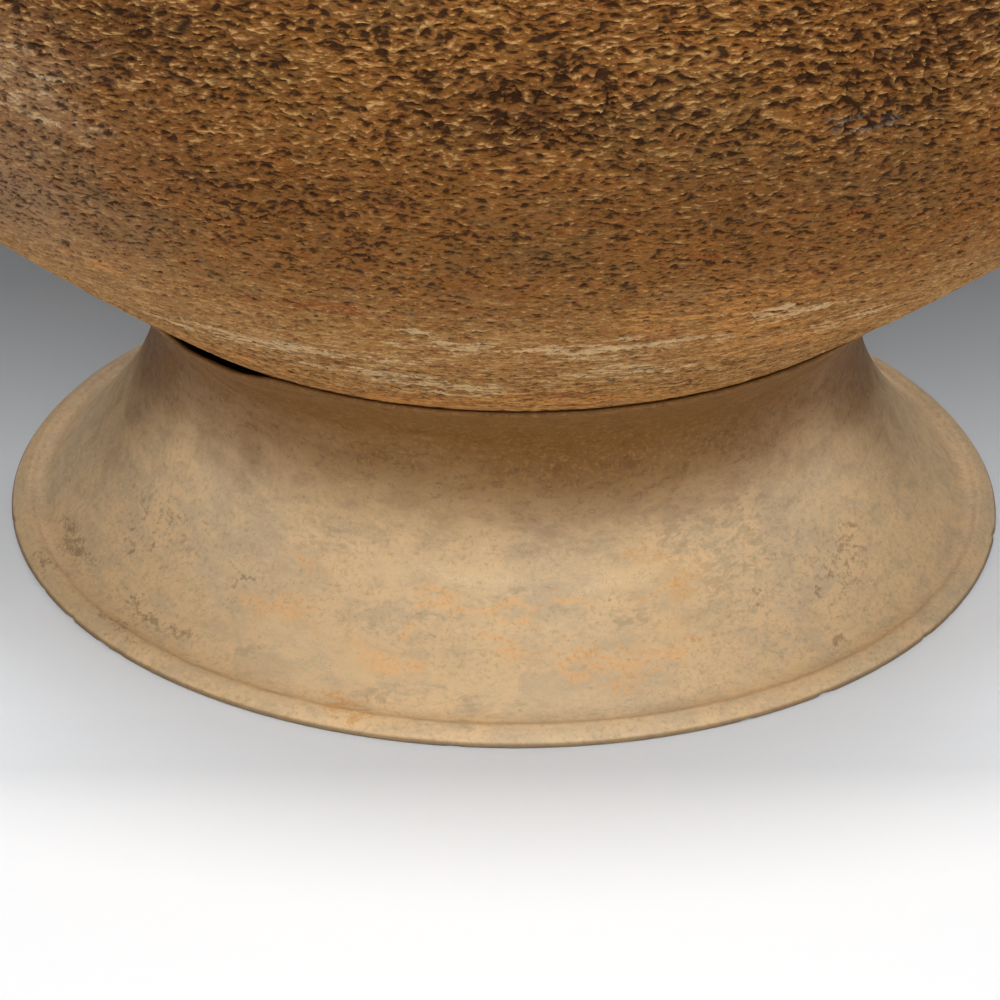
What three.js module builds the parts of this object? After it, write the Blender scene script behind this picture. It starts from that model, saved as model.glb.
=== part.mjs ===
// Round-bottomed earthenware storage pot seated in its own spool-shaped pottery stand.
// Millimetres, +Z up. The origin is the middle of the stand's foot at floor level, and -Y is the front.
import * as THREE from 'three';

// Stand: foot
const footRadius = 140; // the widest place, at the edge of the foot
const footEdge = 0.8; // rounding of the foot's outer edge
const footLipWidth = 5.2; // from the foot's edge in to the crest of its lip
const footLipHeight = 4.8; // crest of the lip above the floor
const footLipFullness = 0.4; // 0 is a plain bevel up to the crest, and 1 a full round
const grooveWidth = 6; // from the crest in to the start of the flare
const grooveDepth = 0.9; // how far the groove sinks below the crest
const grooveRise = 0.6; // how far the flare starts above the crest

// Stand: body and rim
const waistRadius = 99; // the narrowest place outside
const waistHeight = 62;
const rimRadius = 116.4; // where the upper flare ends and the rim's edge turns in
const rimHeight = 86.66;
const rimEdge = 0.8; // rounding of the rim's thin edge
const lowerFlareStraightness = 0.7; // 0 is a parabola, and larger values run straighter to the end
const upperFlareStraightness = 1.3;
const standWall = 10;
const dipDepth = 1.9; // hand-made low place in the rim, which opens a wedge under the pot
const dipAzimuth = -38.5; // degrees from the front, towards the right
const dipHalfWidth = 11; // degrees

// Pot: the outside curve from the bottom up. Slopes are headings: 0 runs outwards, 90 straight up, 180 inwards
const bottomCurve = 199; // radius of the rounded bottom's arc
const bottomSlope = 36; // heading where the bottom turns into the lower wall
const lowerWallCurve = 1000; // the lower wall is nearly straight
const lowerWallSlope = 40; // heading where the lower wall turns into the belly
const bellyCurve = 205;
const shoulderCurve = 182;
const shoulderSlope = 156; // heading where the shoulder meets the neck
const neckCurve = 24; // hollow between the shoulder and the neck
const neckSlope = 84;
const mouthCurve = 60; // hollow flare from the neck out to the mouth
const mouthSlope = 52;
const mouthRun = 6; // straight end of the flare, below the lip
const lipRound = 3; // rounding of the lip's outer edge
const potWall = 10;

// How the pot sits in the stand
const seatGap = 0.4; // upright gap all round the seat
const facets = 64; // steps round the axis, the same on both pieces so that the seat stays even

const degrees = THREE.MathUtils.degToRad;
const at = (radius, height) => new THREE.Vector2(radius, height);

// Points along an arc that turns from one heading to another, to follow the last point of a run
function arcOn(run, curve, from, to, steps) {
  const last = run[run.length - 1];
  const side = to > from ? 1 : -1; // 1 turns to the left, as a convex outside does on its way up
  for (let i = 1; i <= steps; i++) {
    const heading = degrees(from + ((to - from) * i) / steps);
    const start = degrees(from);
    const point = at(
      last.x + side * curve * (Math.sin(heading) - Math.sin(start)),
      last.y + side * curve * (Math.cos(start) - Math.cos(heading)),
    );
    point.heading = heading;
    run.push(point);
  }
}

// The outside of the pot up to the end of the flare, in the pot's own heights
function potOutside() {
  const run = [Object.assign(at(0, 0), { heading: 0 })];
  arcOn(run, bottomCurve, 0, bottomSlope, 6);
  arcOn(run, lowerWallCurve, bottomSlope, lowerWallSlope, 2);
  arcOn(run, bellyCurve, lowerWallSlope, 90, 7);
  arcOn(run, shoulderCurve, 90, shoulderSlope, 8);
  arcOn(run, neckCurve, shoulderSlope, neckSlope, 5);
  arcOn(run, mouthCurve, neckSlope, mouthSlope, 3);
  return run;
}

const inwards = (point, depth) =>
  at(point.x - depth * Math.sin(point.heading), point.y + depth * Math.cos(point.heading));

// The closed section of the pot: outside, rounded lip, flat top of the lip, inside
function potSection() {
  const outside = potOutside();
  const flareEnd = outside[outside.length - 1];
  const inside = outside.map((point) => inwards(point, potWall));
  const slope = degrees(mouthSlope);
  const lip = [at(flareEnd.x + mouthRun * Math.cos(slope), flareEnd.y + mouthRun * Math.sin(slope))];
  arcOn(lip, lipRound, mouthSlope, 180, 4);
  const top = lip[lip.length - 1].y;
  const insideEnd = inside[inside.length - 1];
  const innerEdge = at(insideEnd.x + (top - insideEnd.y) / Math.tan(slope), top);
  return [...outside, ...lip, innerEdge, ...inside.reverse().slice(1)];
}

// Height of the pot's outside at a radius on its lower half, in the pot's own heights
function potWallHeight(radius) {
  const outside = potOutside();
  const next = outside.findIndex((point) => point.x >= radius);
  const [low, high] = [outside[next - 1], outside[next]];
  return low.y + ((high.y - low.y) * (radius - low.x)) / (high.x - low.x);
}

// Share of a flare's reach, from 0 at the waist to 1 at its end
const flareShare = (t, straightness) =>
  (Math.hypot(1, straightness * t) - 1) / (Math.hypot(1, straightness) - 1);

const crest = at(footRadius - footLipWidth, footLipHeight);
const flareStart = at(crest.x - grooveWidth, crest.y + grooveRise);

function standRadius(height) {
  const below = height < waistHeight;
  const end = below ? flareStart : at(rimRadius, rimHeight);
  const straightness = below ? lowerFlareStraightness : upperFlareStraightness;
  const t = (height - waistHeight) / (end.y - waistHeight);
  return waistRadius + (end.x - waistRadius) * flareShare(t, straightness);
}

// Heading of the stand's outside at a height, in degrees
function standHeading(height) {
  const step = 0.01;
  const outwards = standRadius(height + step) - standRadius(height - step);
  return THREE.MathUtils.radToDeg(Math.atan2(2 * step, outwards));
}

// The rim's edge rolls over from the upper flare until it lies along the pot's wall
function standRim() {
  const from = standHeading(rimHeight);
  const run = [at(rimRadius, rimHeight)];
  arcOn(run, rimEdge, from, 180 + bottomSlope, 4);
  return run;
}

const rim = standRim();
const seatEdge = rim[rim.length - 1];
const potHeight = seatEdge.y - potWallHeight(seatEdge.x) + seatGap; // the pot's lowest point above the floor
const seatHeight = (radius) => potWallHeight(radius) + potHeight - seatGap;

// The closed section of the stand: foot, lip, groove, flares, rim, seat, inside
function standSection() {
  const foot = new THREE.Path();
  foot.moveTo(footRadius - footEdge, 0);
  foot.quadraticCurveTo(footRadius, 0, footRadius, footEdge);
  const hollow = (1 - footLipFullness) / 2;
  const shoulder = at(footRadius - hollow * footLipWidth, crest.y - hollow * (crest.y - footEdge));
  const lip = new THREE.QuadraticBezierCurve(at(footRadius, footEdge), shoulder, crest);
  const rise = degrees(standHeading(flareStart.y + 1));
  const valley = grooveWidth / 3;
  const groove = new THREE.CubicBezierCurve(
    crest,
    at(crest.x - valley, crest.y - 2 * grooveDepth),
    at(flareStart.x - valley * Math.cos(rise), flareStart.y - valley * Math.sin(rise)),
    flareStart,
  );
  const flareSteps = 15;
  const flares = [];
  for (let i = 1; i < flareSteps; i++) {
    const height = flareStart.y + ((rimHeight - flareStart.y) * i) / flareSteps;
    flares.push(at(standRadius(height), height));
  }

  // The inside runs one wall behind the outside, up to where it meets the pot's curve
  const insideRadius = (height) => {
    const across = Math.sin(degrees(standHeading(height)));
    return standRadius(height) - standWall / across;
  };
  let [low, high] = [0, rimHeight];
  while (high - low > 1e-4) {
    const middle = (low + high) / 2;
    if (middle < seatHeight(insideRadius(middle))) low = middle;
    else high = middle;
  }
  const meeting = at(insideRadius(low), low);
  const seat = potOutside()
    .filter((point) => point.x > meeting.x + 1 && point.x < seatEdge.x - 1)
    .map((point) => at(point.x, seatHeight(point.x)))
    .reverse();
  const insideSteps = 9;
  const inside = [];
  for (let i = 0; i <= insideSteps; i++) {
    const height = meeting.y * (1 - i / insideSteps);
    inside.push(at(insideRadius(height), height));
  }
  return [
    ...foot.getPoints(2),
    ...lip.getPoints(4).slice(1),
    ...groove.getPoints(4).slice(1),
    ...flares,
    ...rim,
    ...seat,
    ...inside,
  ];
}

// Lowers the stand's rim in its low place, by less and less down to the waist
function dipRim(geometry) {
  const position = geometry.getAttribute('position');
  for (let i = 0; i < position.count; i++) {
    const height = position.getZ(i);
    const azimuth = THREE.MathUtils.radToDeg(Math.atan2(position.getX(i), -position.getY(i)));
    const away = Math.abs(azimuth - dipAzimuth) / dipHalfWidth;
    if (away >= 1 || height <= waistHeight) continue;
    const share = (height - waistHeight) / (rimHeight - waistHeight);
    position.setZ(i, height - dipDepth * Math.cos((away * Math.PI) / 2) ** 2 * share);
  }
}

// Turns a closed section round the Z axis, starting from the front
function turned(section) {
  const closed = section[0].x === 0 ? section : [...section, section[0]];
  return new THREE.LatheGeometry(closed, facets).rotateX(Math.PI / 2);
}

function storagePot() {
  const clay = new THREE.MeshStandardMaterial({ color: 0x7d5f40, roughness: 0.9, metalness: 0 });
  const pot = new THREE.Mesh(turned(potSection()), clay);
  pot.name = 'storage_pot';
  pot.position.z = potHeight;
  return pot;
}

function potStand() {
  const clay = new THREE.MeshStandardMaterial({ color: 0xa88762, roughness: 0.7, metalness: 0 });
  const geometry = turned(standSection());
  dipRim(geometry);
  const stand = new THREE.Mesh(geometry, clay);
  stand.name = 'pot_stand';
  return stand;
}

const footedPot = new THREE.Group();
footedPot.add(potStand(), storagePot());

export default footedPot;
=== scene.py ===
# A coarse earthenware storage pot, seated in its smooth pottery stand.
import math

import bpy
import numpy as np
from mathutils import Matrix, Vector


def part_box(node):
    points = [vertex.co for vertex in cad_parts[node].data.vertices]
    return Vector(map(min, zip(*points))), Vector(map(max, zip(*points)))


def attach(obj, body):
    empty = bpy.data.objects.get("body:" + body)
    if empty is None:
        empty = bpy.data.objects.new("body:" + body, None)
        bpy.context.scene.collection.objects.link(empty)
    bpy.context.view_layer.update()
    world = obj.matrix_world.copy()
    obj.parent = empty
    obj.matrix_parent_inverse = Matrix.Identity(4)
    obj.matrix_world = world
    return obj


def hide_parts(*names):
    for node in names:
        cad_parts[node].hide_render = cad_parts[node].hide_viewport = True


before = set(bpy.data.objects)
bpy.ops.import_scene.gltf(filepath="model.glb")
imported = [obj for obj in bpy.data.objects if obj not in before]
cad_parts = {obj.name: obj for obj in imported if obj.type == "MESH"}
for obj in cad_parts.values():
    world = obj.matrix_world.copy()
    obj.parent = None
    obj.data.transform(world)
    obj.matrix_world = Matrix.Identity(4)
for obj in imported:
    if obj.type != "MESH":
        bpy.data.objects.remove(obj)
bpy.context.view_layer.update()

mm = 0.001
pointPitch = 0.2 * mm  # between the points of an outline
fullTurn = 2 * math.pi


# Small helpers

def smooth(low, high, x):
    t = np.clip((x - low) / (high - low), 0, 1)
    return t * t * (3 - 2 * t)


def blend(a, b, share):
    return a + (b - a) * share


def clay(red, green, blue):  # a screen colour, 0 to 255, as the linear one that shaders take
    parts = [c / 255 for c in (red, green, blue)]
    return [c / 12.92 if c < 0.04045 else ((c + 0.055) / 1.055) ** 2.4 for c in parts] + [1]


# Seeded noise for the relief of the clay

def draws(seed, count=4096):
    return np.random.default_rng(seed).random(count, dtype=np.float32)


def grainNoise(x, y, z, cell, seed):  # smooth, 0 to 1 about a half; cell: how wide and how tall
    wide, tall = cell
    tilts = np.random.default_rng(seed).normal(0, 0.62, (3, 4096)).astype(np.float32)
    place = (x / wide, y / wide, z / tall)
    base = [np.floor(c).astype(np.int32) for c in place]
    part = [(c - b).astype(np.float32) for c, b in zip(place, base)]
    ease = [p * p * p * (p * (p * 6 - 15) + 10) for p in part]
    total = 0
    for corner in range(8):
        step = [corner & 1, corner >> 1 & 1, corner >> 2 & 1]
        key, weight, rise = 0, 1, 0
        for b, e, s, prime in zip(base, ease, step, (73856093, 19349663, 83492791)):
            key = key ^ ((b + s) * np.int32(prime))
            weight = weight * (e if s else 1 - e)
        key = (key ^ (key >> 13)) & 4095
        for p, s, tilt in zip(part, step, tilts):
            rise = rise + tilt[key] * (p - s)
        total = total + weight * rise
    return np.clip(0.5 + total, 0, 1)


def cloudNoise(x, y, z, cell, seed, octaves=3):
    total, weight = 0, 0
    for k in range(octaves):
        total = total + grainNoise(x * 2**k, y * 2**k, z * 2**k, cell, seed + k) / 2**k
        weight += 1 / 2**k
    return total / weight


def dents(x, y, up, long, tall, seed):
    # Soft dents pressed in from above: 0 on the ridges that run between them and 1 at the bottom
    first = np.abs(grainNoise(x, y, up, (long, tall), seed) - 0.5)
    leaned = up - 0.35 * tall * np.minimum(first / 0.25, 1)
    return np.minimum(np.abs(grainNoise(x, y, leaned, (long, tall), seed) - 0.5) / 0.25, 1)


def flakeRows(azimuth, along, outline, tall, long, seed):
    # Flakes lie in rows round the piece, a whole number to a row.
    # Returns the distance to the nearest and a draw that belongs to it.
    rows = int(outline.length / tall) + 6
    girth = fullTurn * outline.at((np.arange(rows) - 3) * tall)[0]
    count = np.maximum(np.round(girth / long), 16).astype(np.int32)
    shift = draws(seed, rows)
    sideways, upwards, chance = draws(seed + 1), draws(seed + 2), draws(seed + 3)
    up = along / tall + 3
    row = np.floor(up).astype(np.int32)
    turn = azimuth / fullTurn + 0.5
    near = np.full(np.shape(up), 9, np.float32)
    pick = np.zeros(np.shape(up), np.float32)
    for dr in (-1, 0, 1):
        k = np.clip(row + dr, 0, rows - 1)
        n = count[k]
        across = (turn * n + shift[k]).astype(np.float32)
        cell = np.floor(across).astype(np.int32)
        for dc in (-1, 0, 1):
            c = cell + dc
            key = (k * 6971 + (c % n) * 977) & 4095
            du = across - c - 0.5 - 0.8 * (sideways[key] - 0.5)
            dv = (up - k - 0.5 - 0.7 * (upwards[key] - 0.5)).astype(np.float32)
            d = np.sqrt(du * du + dv * dv)
            closer = d < near
            pick = np.where(closer, chance[key], pick)
            near = np.where(closer, d, near)
    return near, pick


# Outlines and rings

class Outline:  # points as radius and height, read by the distance along them
    def __init__(self, run):
        self.radius, self.height = np.array(run, float).T
        steps = np.hypot(np.diff(self.radius), np.diff(self.height))
        self.along = np.concatenate([[0], np.cumsum(steps)])
        self.length = float(self.along[-1])
        self.heading = np.unwrap(np.arctan2(np.gradient(self.height), np.gradient(self.radius)))

    def at(self, along):  # radius, height and heading
        return [np.interp(along, self.along, c) for c in (self.radius, self.height, self.heading)]

    def rows(self, start, end, pitch):
        return np.linspace(start, end, max(int(round((end - start) / pitch)), 1) + 1)


def followArc(run, curve, start, end):  # headings in degrees: 0 runs outwards, 90 up, 180 inwards
    side = 1 if end > start else -1
    first = math.radians(start)
    radius, height = run[-1]
    steps = max(int(abs(math.radians(end - start)) * curve / pointPitch), 6)
    for k in range(1, steps + 1):
        heading = math.radians(start + (end - start) * k / steps)
        run.append((radius + side * curve * (math.sin(heading) - math.sin(first)),
                    height + side * curve * (math.cos(first) - math.cos(heading))))


def followLine(run, end):
    start = run[-1]
    steps = max(int(math.dist(start, end) / pointPitch), 2)
    for k in range(1, steps + 1):
        run.append((blend(start[0], end[0], k / steps), blend(start[1], end[1], k / steps)))


def followBend(run, *ends):  # a Bezier curve of any degree on from the last point
    held = [run[-1], *ends]
    for t in np.linspace(0, 1, 40)[1:]:
        points = [np.array(p, float) for p in held]
        while len(points) > 1:
            points = [blend(a, b, t) for a, b in zip(points, points[1:])]
        run.append(tuple(points[0]))


def ringAngles(columns, dense=1.8, reach=42, fade=60):  # columns lie closer together on the front
    azimuth = np.linspace(-180, 180, 7201)
    weight = 1 + dense * (1 - smooth(reach, fade, np.abs(azimuth)))
    share = np.concatenate([[0], np.cumsum((weight[1:] + weight[:-1]) / 2)])
    share /= share[-1]
    return np.radians(np.interp(np.arange(columns) / columns, share, azimuth))


class Skin:  # bands of rings, stitched into one closed mesh
    def __init__(self):
        self.points, self.corners, self.sizes, self.maps, self.marks = [], [], [], [], {}
        self.count = 0
        self.lastRing = self.firstRing = None

    def faces(self, corners, uv):
        self.corners.append(corners.reshape(-1))
        self.sizes.append(np.full(len(corners), corners.shape[1]))
        self.maps.append(np.asarray(uv).reshape(-1, 2))

    def newPoints(self, points, marks):
        self.points.append(points.reshape(-1, 3))
        for name, values in marks.items():
            self.marks.setdefault(name, []).append(np.ravel(values))
        self.count += len(self.points[-1])

    # radius, height: rings by columns; v: each ring's place in the map; marks: a value for each point
    def band(self, azimuth, radius, height, v, marks):
        rings, columns = radius.shape
        index = self.count + np.arange(rings * columns).reshape(rings, columns)
        points = np.stack([radius * np.sin(azimuth), -radius * np.cos(azimuth), height], -1)
        self.newPoints(points, {name: np.broadcast_to(m, radius.shape) for name, m in marks.items()})
        if self.lastRing:
            self.stitch(*self.lastRing, index[0], v[0])
        else:
            self.firstRing = index[0]
        after = np.roll(index, -1, 1)
        quads = np.stack([index[:-1], after[:-1], after[1:], index[1:]], -1).reshape(-1, 4)
        left = np.broadcast_to(np.arange(columns) / columns, (rings - 1, columns))
        low, high = [np.broadcast_to(part[:, None], left.shape) for part in (v[:-1], v[1:])]
        right = left + 1 / columns
        self.faces(quads, np.stack([left, low, right, low, right, high, left, high], -1))
        self.lastRing = (index[-1], v[-1])

    def stitch(self, lower, lowV, upper, highV):  # joins rings whose columns differ by a whole factor
        up = len(lower) >= len(upper)
        fine, coarse = (lower, upper) if up else (upper, lower)
        fineV, coarseV = (lowV, highV) if up else (highV, lowV)
        ratio, k = len(fine) // len(coarse), np.arange(len(coarse))
        corners = [fine[(k * ratio + j) % len(fine)] for j in range(ratio + 1)]
        corners += [np.roll(coarse, -1), coarse]
        u = [(k + j / ratio) / len(coarse) for j in range(ratio + 1)]
        u += [(k + 1) / len(coarse), k / len(coarse)]
        v = [np.full(len(k), fineV)] * (ratio + 1) + [np.full(len(k), coarseV)] * 2
        way = 1 if up else -1
        uv = [np.stack(u[::way], -1), np.stack(v[::way], -1)]
        self.faces(np.stack(corners[::way], -1), np.stack(uv, -1))

    def tip(self, height, v, marks):  # ends the skin in a fan of triangles to a point on the axis
        ring, ringV = self.lastRing
        self.newPoints(np.array([[0.0, 0.0, height]]), marks)
        k, tip = np.arange(len(ring)), np.full(len(ring), self.count - 1)
        uv = [k / len(ring), np.full(len(k), ringV), (k + 1) / len(ring), np.full(len(k), ringV),
              (k + 0.5) / len(ring), np.full(len(k), v)]
        self.faces(np.stack([ring, np.roll(ring, -1), tip], -1), np.stack(uv, -1))

    def footTip(self, height, v, marks, columns):  # starts the skin from such a point
        self.newPoints(np.array([[0.0, 0.0, height]]), marks)
        ring, k = self.count + np.arange(columns), np.arange(columns)
        uv = [(k + 0.5) / columns, np.full(columns, 0.0), (k + 1) / columns, np.full(columns, v),
              k / columns, np.full(columns, v)]
        start = np.full(columns, self.count - 1)
        self.faces(np.stack([start, np.roll(ring, -1), ring], -1), np.stack(uv, -1))

    def close(self, v):
        self.stitch(*self.lastRing, self.firstRing, v)

    def build(self, name):
        points = np.concatenate(self.points).astype(np.float32)
        corners = np.concatenate(self.corners).astype(np.int32)
        sizes = np.concatenate(self.sizes)
        mesh = bpy.data.meshes.new(name)
        mesh.vertices.add(len(points))
        mesh.vertices.foreach_set("co", points.ravel())
        mesh.loops.add(len(corners))
        mesh.loops.foreach_set("vertex_index", corners)
        mesh.polygons.add(len(sizes))
        starts = np.concatenate([[0], np.cumsum(sizes)[:-1]]).astype(np.int32)
        mesh.polygons.foreach_set("loop_start", starts)
        mesh.update(calc_edges=True)
        mesh.shade_smooth()
        uv = np.concatenate(self.maps).astype(np.float32)
        mesh.uv_layers.new(name="OFBake").data.foreach_set("uv", uv.ravel())
        for mark, parts in self.marks.items():
            values = np.concatenate(parts).astype(np.float32)
            mesh.attributes.new(mark, "FLOAT", "POINT").data.foreach_set("value", values)
        piece = bpy.data.objects.new(name, mesh)
        bpy.context.scene.collection.objects.link(piece)
        return piece


def sink(outline, along, depth):  # where the skin lies when it is pressed in by depth
    radius, height, heading = [part[:, None] for part in outline.at(along)]
    return radius - depth * np.sin(heading), height + depth * np.cos(heading)


def spots(azimuth, height, radius, places):
    # A place is its azimuth in degrees, its height, width and tallness in mm, and its strength in the middle
    most = 0
    for turn, middle, wide, tall, share in places:
        away = (np.degrees(azimuth) - turn + 180) % 360 - 180
        across = np.radians(away) * radius / (wide * mm / 2)
        up = (height - middle * mm) / (tall * mm / 2)
        most = np.maximum(most, share * np.exp(-1.2 * (across**2 + up**2)))
    return np.broadcast_to(most, np.broadcast(azimuth, height).shape)


def strayed(x, y, up, azimuth, height):  # shifts places a little, so that a spot's outline isn't an oval
    cell, reach = (12 * mm, 7 * mm), 9 * mm
    aside = cloudNoise(x, y, up, cell, 301, 4) - 0.5
    above = cloudNoise(x, y, up, cell, 311, 4) - 0.5
    return azimuth + 0.16 * aside, height + reach * above


# Materials, node by node

class Recipe:  # a material and the nodes that make it
    def __init__(self, name, **surface):
        self.material = bpy.data.materials.new(name)
        self.material.use_nodes = True
        self.tree = self.material.node_tree
        self.shader = self.tree.nodes["Principled BSDF"]
        for socket, value in surface.items():
            self.shader.inputs[socket].default_value = value

    def node(self, kind, inputs, output=0, **settings):
        node = self.tree.nodes.new("ShaderNode" + kind)
        for name, value in settings.items():
            setattr(node, name, value)
        for socket, value in inputs.items():
            self.give(node.inputs[socket], value)
        return node.outputs[output]

    def give(self, socket, value):
        if isinstance(value, bpy.types.NodeSocket):
            self.tree.links.new(value, socket)
        else:
            socket.default_value = value

    def mark(self, name):
        return self.node("Attribute", {}, "Fac", attribute_name=name)

    def math(self, operation, a, b=0.0):
        return self.node("Math", {0: a, 1: b}, operation=operation)

    def times(self, a, b):
        return self.math("MULTIPLY", a, b)

    def span(self, value, low, high, toLow=0.0, toHigh=1.0):
        inputs = {0: value, 1: low, 2: high, 3: toLow, 4: toHigh}
        return self.node("MapRange", inputs, interpolation_type="SMOOTHSTEP")

    def mask(self, share, noise, low=0.9, high=1.3):  # a ragged patch, denser where its share is higher
        return self.span(self.math("ADD", share, self.span(noise, 0.38, 0.62)), low, high)

    def noise(self, place, size, detail=3.0, rough=0.5, twist=0.0):  # size in metres
        look = {"Detail": detail, "Roughness": rough, "Distortion": twist}
        return self.node("TexNoise", {"Vector": place, "Scale": 1 / size, **look})

    def mix(self, share, a, b):
        node = self.tree.nodes.new("ShaderNodeMix")
        node.data_type = "RGBA"
        for socket, value in ((0, share), (6, a), (7, b)):
            self.give(node.inputs[socket], value)
        return node.outputs[2]

    def ramp(self, value, stops):
        node = self.tree.nodes.new("ShaderNodeValToRGB")
        self.give(node.inputs[0], value)
        while len(node.color_ramp.elements) < len(stops):
            node.color_ramp.elements.new(0.5)
        for element, (place, colour) in zip(node.color_ramp.elements, stops):
            element.position, element.color = place, colour
        return node.outputs[0]

    def place(self, stretch=1.0):  # across and along the wall, so that grain runs alike on every slope
        where = self.node("TexCoord", {}, "Object")
        split = self.tree.nodes.new("ShaderNodeSeparateXYZ")
        self.give(split.inputs[0], where)
        up = self.times(self.mark("up"), stretch)
        return self.node("CombineXYZ", {0: split.outputs[0], 1: split.outputs[1], 2: up})

    def finish(self, colour, roughness, bumps):
        self.give(self.shader.inputs["Base Color"], colour)
        self.give(self.shader.inputs["Roughness"], roughness)
        normal = None
        for height, distance in bumps:
            inputs = {"Height": height, "Distance": distance, "Strength": 1.0}
            if normal:
                inputs["Normal"] = normal
            normal = self.node("Bump", inputs)
        self.give(self.shader.inputs["Normal"], normal)
        return self.material


# The pot: sizes as modelled, and where its clay is marked and tinted

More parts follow.
